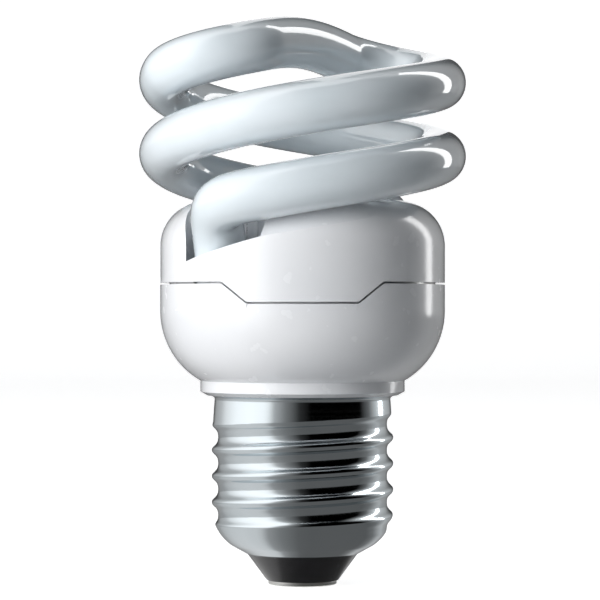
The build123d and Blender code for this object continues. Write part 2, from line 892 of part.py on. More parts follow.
# Main choke: a pair of E cores, pressed together round a bobbin with its winding
choke_height_middle = under_board - bobbin_flange_height / 2
choke_place = Plane((choke_x, 0, choke_height_middle))
window_width = (choke_width - choke_middle_leg - 2 * choke_outer_leg) / 2
window_length = choke_depth - 2 * choke_back
window_offset = (choke_middle_leg + window_width) / 2

with BuildPart() as choke_core:
    with Locations(choke_place):
        Box(choke_depth, choke_width, choke_height)
        with Locations((0, window_offset), (0, -window_offset)):
            Box(window_length, window_width, choke_height, mode=Mode.SUBTRACT)
choke_core.part.label = "choke_core"
export_step(choke_core.part, "parts/choke_core.step")

tube_width = choke_middle_leg + 2 * (bobbin_clearance + bobbin_wall)
tube_height = choke_height + 2 * (bobbin_clearance + bobbin_wall)
flange_width = choke_middle_leg + 2 * (window_width - bobbin_clearance)
bobbin_length = window_length - 2 * bobbin_clearance
winding_length = bobbin_length - 2 * bobbin_wall

with BuildPart() as choke_bobbin:
    with Locations(choke_place):
        Box(bobbin_length, flange_width, bobbin_flange_height)
        Box(winding_length, flange_width, bobbin_flange_height, mode=Mode.SUBTRACT)
        Box(bobbin_length, tube_width, tube_height)
        Box(
            bobbin_length,
            choke_middle_leg + 2 * bobbin_clearance,
            choke_height + 2 * bobbin_clearance,
            mode=Mode.SUBTRACT,
        )
    flange_x = (bobbin_length - bobbin_wall) / 2
    pins([(choke_x + x, y) for x in (-flange_x, flange_x) for y in (-choke_pin_side, choke_pin_side)])
choke_bobbin.part.label = "choke_bobbin"
export_step(choke_bobbin.part, "parts/choke_bobbin.step")

with BuildPart() as choke_winding:
    with BuildSketch(Plane.YZ.offset(choke_x - winding_length / 2)):
        with Locations((0, choke_height_middle)):
            RectangleRounded(
                flange_width - 2 * winding_inset, bobbin_flange_height - 2 * winding_inset, winding_corner_radius
            )
            Rectangle(tube_width, tube_height, mode=Mode.SUBTRACT)
    extrude(amount=winding_length)
choke_winding.part.label = "choke_winding"
export_step(choke_winding.part, "parts/choke_winding.step")


# Drive transformer: a ferrite ring with three short windings
toroid_place = polar(board_radius - toroid_inset, toroid_angle, under_board - toroid_wire_radius * 2 - toroid_height / 2)
toroid_section_radius = (toroid_outer_radius + toroid_inner_radius) / 2
toroid_section_width = toroid_outer_radius - toroid_inner_radius

with BuildPart() as drive_transformer_core:
    with BuildSketch(Plane(toroid_place - Vector(0, 0, toroid_height / 2))):
        Circle(toroid_outer_radius)
        Circle(toroid_inner_radius, mode=Mode.SUBTRACT)
    extrude(amount=toroid_height)
    fillet(drive_transformer_core.edges().filter_by(GeomType.CIRCLE), toroid_edge_radius)
drive_transformer_core.part.label = "drive_transformer_core"
export_step(drive_transformer_core.part, "parts/drive_transformer_core.step")

with BuildPart() as drive_transformer_windings:
    for winding in range(toroid_windings):
        for wire_turn in range(toroid_turns):
            turn_angle = 360 / toroid_windings * winding + toroid_turn_step * (wire_turn - (toroid_turns - 1) / 2)
            across = polar(1, turn_angle)
            turn_plane = Plane(toroid_place, x_dir=across, z_dir=(across.Y, -across.X, 0))
            with BuildSketch(turn_plane.offset(-toroid_wire_radius)):
                with Locations((toroid_section_radius, 0)):
                    RectangleRounded(
                        toroid_section_width + 4 * toroid_wire_radius,
                        toroid_height + 4 * toroid_wire_radius,
                        2 * toroid_wire_radius,
                    )
                    RectangleRounded(
                        toroid_section_width + 2 * seat_clearance,
                        toroid_height + 2 * seat_clearance,
                        toroid_edge_radius,
                        mode=Mode.SUBTRACT,
                    )
            extrude(amount=2 * toroid_wire_radius)
drive_transformer_windings.part.label = "drive_transformer_windings"
export_step(drive_transformer_windings.part, "parts/drive_transformer_windings.step")


# Two switching transistors, flat on the face that looks at the axis
for number, angle in enumerate(transistor_angles, start=1):
    transistor_middle = polar(board_radius - transistor_inset, angle)
    body_top = Plane((transistor_middle.X, transistor_middle.Y, under_board), x_dir=polar(1, angle))
    with BuildPart() as transistor:
        with BuildSketch(body_top):
            Circle(transistor_width / 2)
            with Locations((-transistor_width / 2, 0)):
                flat = 2 * (transistor_width - transistor_depth)
                Rectangle(flat, transistor_width, mode=Mode.SUBTRACT)
        extrude(amount=-transistor_height)
        pins(side_by_side(transistor_middle, angle, transistor_pin_pitch, count=3))
    transistor.part.label = f"transistor_{number}"
    export_step(transistor.part, f"parts/transistor_{number}.step")


def film_capacitor(angle):
    """A dipped film capacitor with rounded corners, standing across the radius at this angle."""
    middle = polar(board_radius - film_inset, angle)
    with BuildPart() as capacitor:
        with BuildSketch(Plane((middle.X, middle.Y, under_board), x_dir=polar(1, angle + 90))):
            Rectangle(film_width, film_depth)
        extrude(amount=-film_height)
        fillet(capacitor.edges(), film_edge_radius)
        pins(side_by_side(middle, angle, film_pin_pitch))
    return capacitor.part


for name, angle in (
    ("resonant_capacitor", resonant_capacitor_angle),
    ("blocking_capacitor", blocking_capacitor_angle),
):
    capacitor_part = film_capacitor(angle)
    capacitor_part.label = name
    export_step(capacitor_part, f"parts/{name}.step")


# Mains filter inductor: a drum core with its winding between the flanges
drum_place = polar(board_radius - drum_inset, drum_angle, under_board)

with BuildPart() as filter_inductor_core:
    with BuildSketch(Plane(drum_place)):
        Circle(drum_radius)
    extrude(amount=-drum_height)
    with BuildSketch(Plane(drum_place - Vector(0, 0, drum_flange))):
        Circle(drum_radius)
        Circle(drum_core_radius, mode=Mode.SUBTRACT)
    extrude(amount=2 * drum_flange - drum_height, mode=Mode.SUBTRACT)
    pins(side_by_side(drum_place, drum_angle, drum_pin_pitch))
filter_inductor_core.part.label = "filter_inductor_core"
export_step(filter_inductor_core.part, "parts/filter_inductor_core.step")

with BuildPart() as filter_inductor_winding:
    with BuildSketch(Plane(drum_place - Vector(0, 0, drum_flange))):
        Circle(drum_radius - winding_inset)
        Circle(drum_core_radius, mode=Mode.SUBTRACT)
    extrude(amount=2 * drum_flange - drum_height)
filter_inductor_winding.part.label = "filter_inductor_winding"
export_step(filter_inductor_winding.part, "parts/filter_inductor_winding.step")


# Small parts lie on top of the board, each on a lead bent down into it at both ends
def lying_part(middle_x, middle_y, body_radius, body_length, reach, along_y=False):
    """A round body lying on the board, with its lead through it."""
    turn = 90 if along_y else 0
    lead_height = board_top + body_radius + lying_gap
    along = polar(1, turn)
    middle = Vector(middle_x, middle_y, lead_height)
    foot_drop = Vector(0, 0, lead_height - board_bottom)
    ends = [middle - along * reach, middle + along * reach]
    pin_places.extend([(end.X, end.Y) for end in ends])
    with BuildPart() as lying:
        with BuildLine() as lead_path:
            FilletPolyline(
                ends[0] - foot_drop, ends[0], ends[1], ends[1] - foot_drop, radius=lead_bend_radius
            )
        with BuildSketch(Plane(ends[0] - foot_drop)):
            Circle(diode_lead_radius)
        sweep(path=lead_path.wires()[0])
        with BuildSketch(Plane(middle - along * (body_length / 2), z_dir=along)):
            Circle(body_radius)
        extrude(amount=body_length)
    return lying.part


with BuildPart() as rectifier_diodes:
    for place in range(4):
        row_y = diode_y + diode_spacing * (place - 1.5)
        add(lying_part(diode_x, row_y, diode_radius, diode_length, diode_reach))
rectifier_diodes.part.label = "rectifier_diodes"
export_step(rectifier_diodes.part, "parts/rectifier_diodes.step")

with BuildPart() as diac:
    add(lying_part(board_radius - diac_inset, diac_y, diac_radius, diac_length, diac_reach, along_y=True))
diac.part.label = "diac"
export_step(diac.part, "parts/diac.step")

with BuildPart() as small_resistors:
    for place in range(resistor_count):
        row_x = resistor_x + resistor_spacing * place
        add(lying_part(row_x, board_radius - resistor_inset, resistor_radius, resistor_length, resistor_reach, along_y=True))
small_resistors.part.label = "small_resistors"
export_step(small_resistors.part, "parts/small_resistors.step")


# Fusible resistor in its sleeve, in the neck, and the lead on to the bottom contact
fuse_top = fuse_bottom + fuse_length
pin_places.append((fuse_x, fuse_y))

with BuildPart() as fusible_resistor:
    with BuildSketch(Plane.XY.offset(fuse_bottom)):
        with Locations((fuse_x, fuse_y)):
            Circle(fuse_radius)
    extrude(amount=fuse_length)
    fillet(fusible_resistor.edges(), fuse_edge_radius)
    with BuildSketch(Plane.XY.offset(fuse_top - pin_root)):
        with Locations((fuse_x, fuse_y)):
            Circle(pin_radius)
    extrude(amount=board_top + pin_stand - fuse_top + pin_root)
fusible_resistor.part.label = "fusible_resistor"
export_step(fusible_resistor.part, "parts/fusible_resistor.step")

with BuildPart() as fuse_sleeve:
    with BuildSketch(Plane.XY.offset(fuse_bottom - sleeve_overhang)):
        with Locations((fuse_x, fuse_y)):
            Circle(fuse_radius + seat_clearance + sleeve_wall)
            Circle(fuse_radius + seat_clearance, mode=Mode.SUBTRACT)
    extrude(amount=fuse_length + 2 * sleeve_overhang)
fuse_sleeve.part.label = "fuse_sleeve"
export_step(fuse_sleeve.part, "parts/fuse_sleeve.step")

with BuildPart() as live_lead:
    with BuildLine() as live_path:
        FilletPolyline(
            (fuse_x, fuse_y, fuse_bottom),
            (fuse_x, fuse_y, live_turn_height),
            (0, 0, live_entry_height),
            (0, 0, contact_thickness + seat_clearance),
            radius=live_bend_radius,
        )
    with BuildSketch(Plane((fuse_x, fuse_y, fuse_bottom))):
        Circle(lead_radius)
    sweep(path=live_path.wires()[0])
live_lead.part.label = "live_lead"
export_step(live_lead.part, "parts/live_lead.step")

# The neutral lead turns under the neck's edge and lies in its slot, against the cap
neutral_slot_radius = thread_root_radius - cap_sheet - lead_radius - seat_clearance
neutral_turn_height = neck_bottom - lead_radius - neutral_turn_drop
neutral_top = polar(neutral_drop_radius, neutral_angle, board_top + pin_stand)
pin_places.append((neutral_top.X, neutral_top.Y))

with BuildPart() as neutral_lead:
    with BuildLine() as neutral_path:
        FilletPolyline(
            neutral_top,
            polar(neutral_drop_radius, neutral_angle, neutral_turn_height),
            polar(neutral_slot_radius, neutral_angle, neutral_turn_height),
            polar(neutral_slot_radius, neutral_angle, neck_bottom + neutral_slot_height - 1),
            radius=(neutral_slot_radius - neutral_drop_radius) * 0.45,
        )
    with BuildSketch(Plane(neutral_top)):
        Circle(lead_radius)
    sweep(path=neutral_path.wires()[0])
neutral_lead.part.label = "neutral_lead"
export_step(neutral_lead.part, "parts/neutral_lead.step")


# Posts beside the tube's lead wires, which run from the glass down along them
post_offset = post_side / 2 + filament_wire_radius
post_places = [
    lead + polar(post_offset, leg_angle + 90) * (1 if index < 2 else -1)
    for index, lead in enumerate(lead_places)
]

with BuildPart() as filament_posts:
    for place in post_places:
        with BuildSketch(Plane((place.X, place.Y, board_bottom), x_dir=polar(1, leg_angle))):
            Rectangle(post_side, post_side)
        extrude(amount=board_thickness + post_height)
filament_posts.part.label = "filament_posts"
export_step(filament_posts.part, "parts/filament_posts.step")

with BuildPart() as filament_leads:
    with BuildSketch(Plane.XY.offset(board_top + seat_clearance)):
        with Locations([(place.X, place.Y) for place in lead_places]):
            Circle(filament_wire_radius)
    extrude(amount=leg_bottom + lead_hole_depth - board_top - seat_clearance)
filament_leads.part.label = "filament_leads"
export_step(filament_leads.part, "parts/filament_leads.step")


# Round circuit board with a hole for every pin, lead and post
with BuildPart() as circuit_board:
    with BuildSketch(Plane.XY.offset(board_bottom)):
        Circle(board_radius)
        with Locations(pin_places):
            Circle(max(pin_radius, diode_lead_radius) + pin_hole_clearance, mode=Mode.SUBTRACT)
        with Locations((neutral_top.X, neutral_top.Y)):
            Circle(lead_radius + pin_hole_clearance, mode=Mode.SUBTRACT)
        for place in post_places:
            with Locations(Location((place.X, place.Y), leg_angle)):
                Rectangle(post_side, post_side, mode=Mode.SUBTRACT)
    extrude(amount=board_thickness)
circuit_board.part.label = "circuit_board"
export_step(circuit_board.part, "parts/circuit_board.step")
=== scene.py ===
import json
import math

import bmesh
import bpy
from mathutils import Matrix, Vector


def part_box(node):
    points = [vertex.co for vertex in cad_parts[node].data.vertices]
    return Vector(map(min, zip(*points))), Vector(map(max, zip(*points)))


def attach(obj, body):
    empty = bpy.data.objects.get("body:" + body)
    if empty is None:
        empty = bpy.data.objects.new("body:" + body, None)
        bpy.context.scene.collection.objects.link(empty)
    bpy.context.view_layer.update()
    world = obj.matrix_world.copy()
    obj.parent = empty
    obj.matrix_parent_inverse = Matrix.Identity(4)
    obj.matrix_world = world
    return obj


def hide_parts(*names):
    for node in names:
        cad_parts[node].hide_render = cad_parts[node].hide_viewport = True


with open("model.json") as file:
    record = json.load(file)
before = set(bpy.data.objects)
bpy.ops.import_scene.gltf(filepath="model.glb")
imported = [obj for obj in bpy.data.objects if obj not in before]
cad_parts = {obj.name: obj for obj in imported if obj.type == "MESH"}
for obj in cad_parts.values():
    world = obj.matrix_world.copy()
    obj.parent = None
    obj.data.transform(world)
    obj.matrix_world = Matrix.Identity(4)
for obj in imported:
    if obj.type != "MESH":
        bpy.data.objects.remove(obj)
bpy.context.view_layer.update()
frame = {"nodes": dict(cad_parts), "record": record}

# Sizes are in metres, and a value in millimetres is written as a number times MM
MM = 0.001

# Glass tube
TUBE_RADIUS = 3.7 * MM
COIL_RADIUS = 19.7 * MM
COIL_PITCH = 21.06 * MM
COIL_START_ANGLE = math.radians(247.0)
COIL_END_ANGLE = math.radians(557.3)
COIL_START_HEIGHT = 54.88 * MM
TOP_BEND_RADIUS = 7.54 * MM
BRIDGE_HEIGHT = 77.6 * MM
LEG_CIRCLE_RADIUS = 15.3 * MM
LEG_ANGLE = math.radians(222.8)
LEG_BOTTOM = 41.2 * MM
LEG_BEND_HEIGHT = 43.5 * MM
LEG_BEND_PULL = 9.58 * MM
COIL_ENTRY_PULL = 6.86 * MM
TUBE_END_ROUNDING = 1.6 * MM

# Screw cap
CAP_SHEET = 0.35 * MM
THREAD_CREST_RADIUS = 13.1 * MM
THREAD_ROOT_RADIUS = 12.1 * MM
THREAD_PITCH = 3.74 * MM
THREAD_CREST_WIDTH = 0.8 * MM
THREAD_ROOT_HEIGHT_LEFT = 21.15 * MM
THREAD_TOP_ANGLE = math.radians(430.0)
THREAD_TOP_FADE = math.radians(50.0)
SKIRT_RADIUS = 12.9 * MM
SKIRT_BOTTOM = 22.9 * MM
SKIRT_EASING = 0.5 * MM
RIM_RADIUS = 13.7 * MM
RIM_FLARE = 1.1 * MM
RIM_HEIGHT = 0.55 * MM
CAP_CURVE_HEIGHT = 10.4 * MM
CAP_SHOULDER = (10.2 * MM, 5.7 * MM)
CAP_MOUTH = (7.95 * MM, 4.45 * MM)
CAP_CURVE_BULGE = 0.4 * MM

# Covers
COVER_RADIUS = 20.4 * MM
SHOULDER_RADIUS = 6.4 * MM
SHOULDER_HEIGHT = 48.5 * MM
BOWL_RADIUS = 11.5 * MM
BOWL_HEIGHT = 39.2 * MM

# Camera, found from the photograph's perspective
CAMERA_DISTANCE = 356.3 * MM
CAMERA_HEIGHT = 39.1 * MM
CAMERA_LENS = 149.0
CAMERA_SHIFT = (-0.0042, 0.0195)


def polar(radius, angle, height=0.0):
    """The point at an angle and a distance from the bulb's axis."""
    return Vector((radius * math.cos(angle), radius * math.sin(angle), height))


# Camera
camera = bpy.data.objects.new("camera", bpy.data.cameras.new("camera"))
bpy.context.scene.collection.objects.link(camera)
camera.location = (0, -CAMERA_DISTANCE, CAMERA_HEIGHT)
camera.rotation_euler = (math.pi / 2, 0, 0)
camera.data.lens = CAMERA_LENS
camera.data.sensor_width = 36
camera.data.shift_x, camera.data.shift_y = CAMERA_SHIFT
camera.data.clip_start = 0.01
bpy.context.scene.camera = camera
bpy.context.scene.view_settings.view_transform = "Standard"


# Finishes: each reads the piece's own coordinates in metres. Noise is used between these two of its values.
NOISE_LOW = 0.3
NOISE_HIGH = 0.7


class Finish:
    """A material with the node steps that its finish needs."""

    def __init__(self, name, **shader_values):
        self.material = bpy.data.materials.new(name)
        self.material.use_nodes = True
        self.tree = self.material.node_tree
        self.shader = self.tree.nodes["Principled BSDF"]
        for socket, value in shader_values.items():
            self.shader.inputs[socket.replace("_", " ")].default_value = value
        self.place = self.tree.nodes.new("ShaderNodeTexCoord").outputs["Object"]

    def node(self, kind, inputs=None, **settings):
        made = self.tree.nodes.new(kind)
        for name, value in settings.items():
            setattr(made, name, value)
        for name, value in (inputs or {}).items():
            if isinstance(value, bpy.types.NodeSocket):
                self.tree.links.new(value, made.inputs[name])
            else:
                made.inputs[name].default_value = value
        return made

    def feed(self, socket, value):
        self.tree.links.new(value, self.shader.inputs[socket])

    def noise(self, scale, detail=2.0, stretch=(1, 1, 1)):
        """Soft noise over the piece, squeezed by a factor along each axis."""
        place = self.node("ShaderNodeMapping", {"Vector": self.place, "Scale": stretch}, vector_type="POINT")
        inputs = {"Vector": place.outputs["Vector"], "Scale": scale, "Detail": detail}
        return self.node("ShaderNodeTexNoise", inputs).outputs["Fac"]

    def ranged(self, noise, low, high):
        """The noise as a value between low and high."""
        limits = {"From Min": NOISE_LOW, "From Max": NOISE_HIGH, "To Min": low, "To Max": high}
        return self.node("ShaderNodeMapRange", {"Value": noise, **limits}).outputs["Result"]

    def mottled(self, noise, low, high):
        """Feeds a colour that wanders between two with the noise."""
        ramp = self.node("ShaderNodeValToRGB", {"Fac": self.ranged(noise, 0, 1)})
        ramp.color_ramp.elements[0].color = (*low, 1)
        ramp.color_ramp.elements[1].color = (*high, 1)
        self.feed("Base Color", ramp.outputs["Color"])

    def bumped(self, noise, depth):
        """Feeds a surface that rises with the noise, by up to the depth."""
        inputs = {"Height": noise, "Distance": depth, "Strength": 1.0}
        self.feed("Normal", self.node("ShaderNodeBump", inputs).outputs["Normal"])


def tube_glass():
    """Clear glass over a white inner coating, which varies faintly along the tube."""
    gloss = {"Roughness": 0.06, "IOR": 1.6, "Coat_Weight": 1.0, "Coat_Roughness": 0.03, "Coat_IOR": 1.75}
    finish = Finish("tube_glass", **gloss)
    finish.mottled(finish.noise(90.0, 3.0), (0.66, 0.73, 0.77), (0.73, 0.79, 0.83))
    finish.bumped(finish.noise(160.0, 1.0), 0.02 * MM)
    return finish.material


def cover_plastic():
    """Satin white moulded plastic with a very fine grain."""
    finish = Finish("cover_plastic", IOR=1.55, Coat_Weight=1.0, Coat_Roughness=0.14, Coat_IOR=1.6)
    finish.mottled(finish.noise(60.0, 2.0), (0.77, 0.785, 0.81), (0.81, 0.82, 0.84))
    finish.feed("Roughness", finish.ranged(finish.noise(400.0, 3.0), 0.20, 0.28))
    finish.bumped(finish.noise(3500.0, 2.0), 0.004 * MM)
    return finish.material


def rolled_nickel(name, low, high, rough_low, rough_high):
    """Bright nickel on rolled sheet, with faint marks that run round the cap."""
    finish = Finish(name, Metallic=1.0)
    marks = finish.noise(40.0, 4.0, (1, 1, 90))
    finish.mottled(finish.noise(120.0), low, high)
    finish.feed("Roughness", finish.ranged(marks, rough_low, rough_high))
    finish.bumped(marks, 0.003 * MM)
    return finish.material


def grained(name, low, high, roughness, scale, depth, shader_values):
    """A plain solid finish with a grain of its own size in colour, gloss and surface."""
    finish = Finish(name, **shader_values)
    grain = finish.noise(scale, 4.0)
    finish.mottled(grain, low, high)
    finish.feed("Roughness", finish.ranged(grain, roughness * 0.8, roughness * 1.2))
    finish.bumped(grain, depth * MM)
    return finish.material


# Darker and paler colour, roughness, scale of the grain, its depth in millimetres, and other shader values
GRAINED_FINISHES = {
    "insulator_glass": ((0.004, 0.004, 0.005), (0.01, 0.01, 0.012), 0.07, 300.0, 0.01, {"Coat_Weight": 0.5}),
    "solder": ((0.55, 0.55, 0.56), (0.70, 0.70, 0.71), 0.3, 900.0, 0.05, {"Metallic": 1.0}),
    "cement": ((0.62, 0.60, 0.55), (0.80, 0.78, 0.73), 0.9, 1500.0, 0.08, {}),
    "board_laminate": ((0.42, 0.26, 0.10), (0.55, 0.37, 0.17), 0.5, 900.0, 0.02, {}),
    "can_sleeve": ((0.010, 0.012, 0.02), (0.02, 0.024, 0.04), 0.3, 700.0, 0.01, {}),
    "ferrite": ((0.025, 0.025, 0.027), (0.07, 0.07, 0.075), 0.6, 2500.0, 0.03, {}),
    "bobbin_plastic": ((0.50, 0.46, 0.36), (0.60, 0.56, 0.45), 0.45, 900.0, 0.01, {}),
    "copper_wire": ((0.50, 0.16, 0.05), (0.72, 0.28, 0.10), 0.25, 1200.0, 0.02, {"Metallic": 0.9}),
    "transistor_body": ((0.012, 0.012, 0.013), (0.03, 0.03, 0.032), 0.5, 3000.0, 0.02, {}),
    "film_dip": ((0.38, 0.05, 0.02), (0.50, 0.09, 0.04), 0.22, 500.0, 0.04, {}),
    "diode_body": ((0.012, 0.012, 0.013), (0.03, 0.03, 0.032), 0.4, 2000.0, 0.02, {}),
    "diac_glass": ((0.05, 0.14, 0.32), (0.10, 0.22, 0.45), 0.15, 1000.0, 0.01, {}),
    "resistor_body": ((0.62, 0.50, 0.30), (0.72, 0.60, 0.40), 0.4, 1500.0, 0.02, {}),
    "fuse_body": ((0.10, 0.30, 0.16), (0.16, 0.40, 0.22), 0.35, 1200.0, 0.02, {}),
    "sleeve_fabric": ((0.70, 0.68, 0.62), (0.85, 0.83, 0.78), 0.8, 3500.0, 0.06, {}),
    "lead_wire": ((0.62, 0.62, 0.62), (0.76, 0.76, 0.76), 0.3, 1800.0, 0.01, {"Metallic": 1.0}),
}

MATERIALS = {
    "tube_glass": tube_glass(),
    "cover_plastic": cover_plastic(),
    "cap_nickel": rolled_nickel("cap_nickel", (0.66, 0.72, 0.75), (0.71, 0.76, 0.79), 0.07, 0.14),
    "contact_nickel": rolled_nickel("contact_nickel", (0.62, 0.62, 0.60), (0.70, 0.70, 0.68), 0.2, 0.35),
}
for finish_name, finish_values in GRAINED_FINISHES.items():
    MATERIALS[finish_name] = grained(finish_name, *finish_values)


# Pieces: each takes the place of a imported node, with that node's material slot
SLOT_OF_NODE = {subpart["node"]: subpart["material_slot"] for subpart in frame["record"]["subparts"]}


def add_piece(name, mesh, replaced_node):
    """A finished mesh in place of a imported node."""
    piece = bpy.data.objects.new(name, mesh)
    bpy.context.scene.collection.objects.link(piece)
    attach(piece, "root")
    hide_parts(replaced_node)
    slot = SLOT_OF_NODE[replaced_node]
    mesh.materials.clear()
    mesh.materials.append(MATERIALS[slot])
    return piece


def baked(holder):
    """The plain mesh that an object's modifiers make."""
    holder_in_use = holder.evaluated_get(bpy.context.evaluated_depsgraph_get())
    return bpy.data.meshes.new_from_object(holder_in_use)


# Glass tube: the route is worked out in the tree from the coil's sizes
LEG_STEPS = 24
BEND_STEPS = 56
COIL_STEPS = 240
TOP_BEND_STEPS = 64
BRIDGE_STEPS = 30
TUBE_SIDES = 56


class Tree:
    """A Geometry Nodes tree in the making."""

    def __init__(self, name):
        self.group = bpy.data.node_groups.new(name, "GeometryNodeTree")
        self.group.interface.new_socket("Geometry", in_out="OUTPUT", socket_type="NodeSocketGeometry")
        self.values = {}
        self.entry = self.group.nodes.new("NodeGroupInput")

    def size(self, name, value, kind="NodeSocketFloat"):
        """A named input, with the value that the modifier is given."""
        socket = self.group.interface.new_socket(name, in_out="INPUT", socket_type=kind)
        self.values[socket.identifier] = value
        return self.entry.outputs[name]

    def node(self, kind, inputs=None, **settings):
        made = self.group.nodes.new(kind)
        for name, value in settings.items():
            setattr(made, name, value)
        for name, value in (inputs or {}).items():
            if isinstance(value, bpy.types.NodeSocket):
                self.group.links.new(value, made.inputs[name])
            else:
                made.inputs[name].default_value = value
        return made

    def maths(self, operation, *terms):
        made = self.node("ShaderNodeMath", operation=operation)
        for index, term in enumerate(terms):
            if isinstance(term, bpy.types.NodeSocket):
                self.group.links.new(term, made.inputs[index])
            else:
                made.inputs[index].default_value = term
        return made.outputs[0]

    def joined(self, *geometries):
        join = self.node("GeometryNodeJoinGeometry")
        for geometry in reversed(geometries):
            self.group.links.new(geometry, join.inputs[0])
        return join.outputs[0]

    def line(self, start, end, count):
        """A straight run with points at even steps."""
        straight = self.node("GeometryNodeCurvePrimitiveLine", {"Start": start, "End": end}).outputs[0]
        return self.node("GeometryNodeResampleCurve", {"Curve": straight, "Count": count}).outputs[0]

    def points(self, curve):
        return self.node("GeometryNodeCurveToPoints", {"Curve": curve}, mode="EVALUATED").outputs["Points"]

    def one_curve(self, *curves):
        """The curves end to end as one, in the order given."""
        points = self.joined(*[self.points(curve) for curve in curves])
        merged = self.node("GeometryNodeMergeByDistance", {"Geometry": points, "Distance": 0.01 * MM})
        order = self.node("GeometryNodeInputIndex").outputs[0]
        inputs = {"Points": merged.outputs[0], "Weight": order}
        return self.node("GeometryNodePointsToCurves", inputs).outputs[0]

    def moved(self, geometry, translation=(0, 0, 0), rotation=(0, 0, 0)):
        inputs = {"Geometry": geometry, "Translation": translation, "Rotation": rotation}
        return self.node("GeometryNodeTransform", inputs).outputs[0]

    def mesh(self, geometry, material):
        """Ends the tree, and gives the plain mesh that it makes."""
        real = self.node("GeometryNodeRealizeInstances", {"Geometry": geometry})
        painted = self.node("GeometryNodeSetMaterial", {"Geometry": real.outputs[0], "Material": material})
        self.group.links.new(painted.outputs[0], self.group.nodes.new("NodeGroupOutput").inputs[0])
        holder = bpy.data.objects.new(self.group.name, bpy.data.meshes.new(self.group.name))
        bpy.context.scene.collection.objects.link(holder)
        modifier = holder.modifiers.new(self.group.name, "NODES")
        modifier.node_group = self.group
        for identifier, value in self.values.items():
            modifier[identifier] = value
        made = baked(holder)
        bpy.data.objects.remove(holder)
        return made


def coil_tangent(angle):
    climb = COIL_PITCH / (2 * math.pi * COIL_RADIUS)
    return Vector((-math.sin(angle), math.cos(angle), climb)).normalized()


def leg_and_bend(tree, bend_end):
    """The upright leg, and the bend that leads it out and up into the coil."""
    bend_start = polar(LEG_CIRCLE_RADIUS, LEG_ANGLE, LEG_BEND_HEIGHT)
    leg_end = tree.size("Leg end", polar(LEG_CIRCLE_RADIUS, LEG_ANGLE, LEG_BOTTOM), "NodeSocketVector")
    leg = tree.line(leg_end, tree.size("Bend start", bend_start, "NodeSocketVector"), LEG_STEPS)
    bend = tree.node(
        "GeometryNodeCurvePrimitiveBezierSegment",
        {
            "Resolution": BEND_STEPS,
            "Start": bend_start,
            "Start Handle": bend_start + Vector((0, 0, LEG_BEND_PULL)),
            "End Handle": bend_end - coil_tangent(COIL_START_ANGLE) * COIL_ENTRY_PULL,
            "End": bend_end,
        },
        mode="POSITION",
    ).outputs[0]
    return leg, bend


def coil(tree, turns):
    """One leg's part of the helix."""
    radius = tree.size("Coil radius", COIL_RADIUS)
    helix = tree.node(
        "GeometryNodeCurveSpiral",
        {
            "Resolution": COIL_STEPS,
            "Rotations": tree.size("Coil turns", turns),
            "Start Radius": radius,
            "End Radius": radius,
            "Height": tree.size("Coil climb", COIL_PITCH * turns),
            "Reverse": True,
        },
    ).outputs[0]
    return tree.moved(helix, (0, 0, COIL_START_HEIGHT), (0, 0, COIL_START_ANGLE))


def top_bend(tree, turns):
    """The top bend and half the bridge, drawn in plan and then lifted along a smooth step."""
    bend_circle = COIL_RADIUS - TOP_BEND_RADIUS
    bend_turn = math.pi / 2 + math.asin(TOP_BEND_RADIUS / bend_circle)
    bend_middle = polar(bend_circle, COIL_END_ANGLE)
    arc = tree.node(
        "GeometryNodeCurveArc",
        {
            "Resolution": TOP_BEND_STEPS,
            "Radius": tree.size("Top bend radius", TOP_BEND_RADIUS),
            "Start Angle": COIL_END_ANGLE,
            "Sweep Angle": bend_turn,
        },
        mode="RADIUS",
    ).outputs[0]
    arc_end = bend_middle + polar(TOP_BEND_RADIUS, COIL_END_ANGLE + bend_turn)
    plan = tree.one_curve(tree.moved(arc, bend_middle), tree.line(arc_end, (0, 0, 0), BRIDGE_STEPS))
    share = tree.node("GeometryNodeSplineParameter").outputs["Factor"]
    length = TOP_BEND_RADIUS * bend_turn + arc_end.length
    start = COIL_START_HEIGHT + COIL_PITCH * turns
    slope = COIL_PITCH / (2 * math.pi * COIL_RADIUS) * length
    squared = tree.maths("POWER", share, 2.0)
    step = tree.maths("MULTIPLY", squared, tree.maths("SUBTRACT", 3.0, tree.maths("MULTIPLY", share, 2.0)))
    climb = tree.maths("MULTIPLY", tree.size("Bridge rise", BRIDGE_HEIGHT - start), step)
    left = tree.maths("POWER", tree.maths("SUBTRACT", 1.0, share), 2.0)
    run_in = tree.maths("MULTIPLY", tree.maths("MULTIPLY", share, left), slope)
    height = tree.maths("ADD", tree.maths("ADD", climb, run_in), start)
    lift = tree.node("ShaderNodeCombineXYZ", {"Z": height}).outputs[0]
    return tree.node("GeometryNodeSetPosition", {"Geometry": plan, "Offset": lift}).outputs[0]


def tube_thickness(tree):
    """The tube's radius along its route, with both sealed ends rounded over."""
    along = tree.node("GeometryNodeSplineParameter").outputs["Length"]
    whole = tree.node("GeometryNodeSplineLength").outputs["Length"]
    from_end = tree.maths("MINIMUM", along, tree.maths("SUBTRACT", whole, along))
    rounding = tree.size("End rounding", TUBE_END_ROUNDING)
    short = tree.maths("MAXIMUM", tree.maths("SUBTRACT", rounding, from_end), 0.0)
    squares = tree.maths("SUBTRACT", tree.maths("POWER", rounding, 2.0), tree.maths("POWER", short, 2.0))
    cut_back = tree.maths("SUBTRACT", rounding, tree.maths("POWER", squares, 0.5))
    return tree.maths("SUBTRACT", tree.size("Tube radius", TUBE_RADIUS), cut_back)


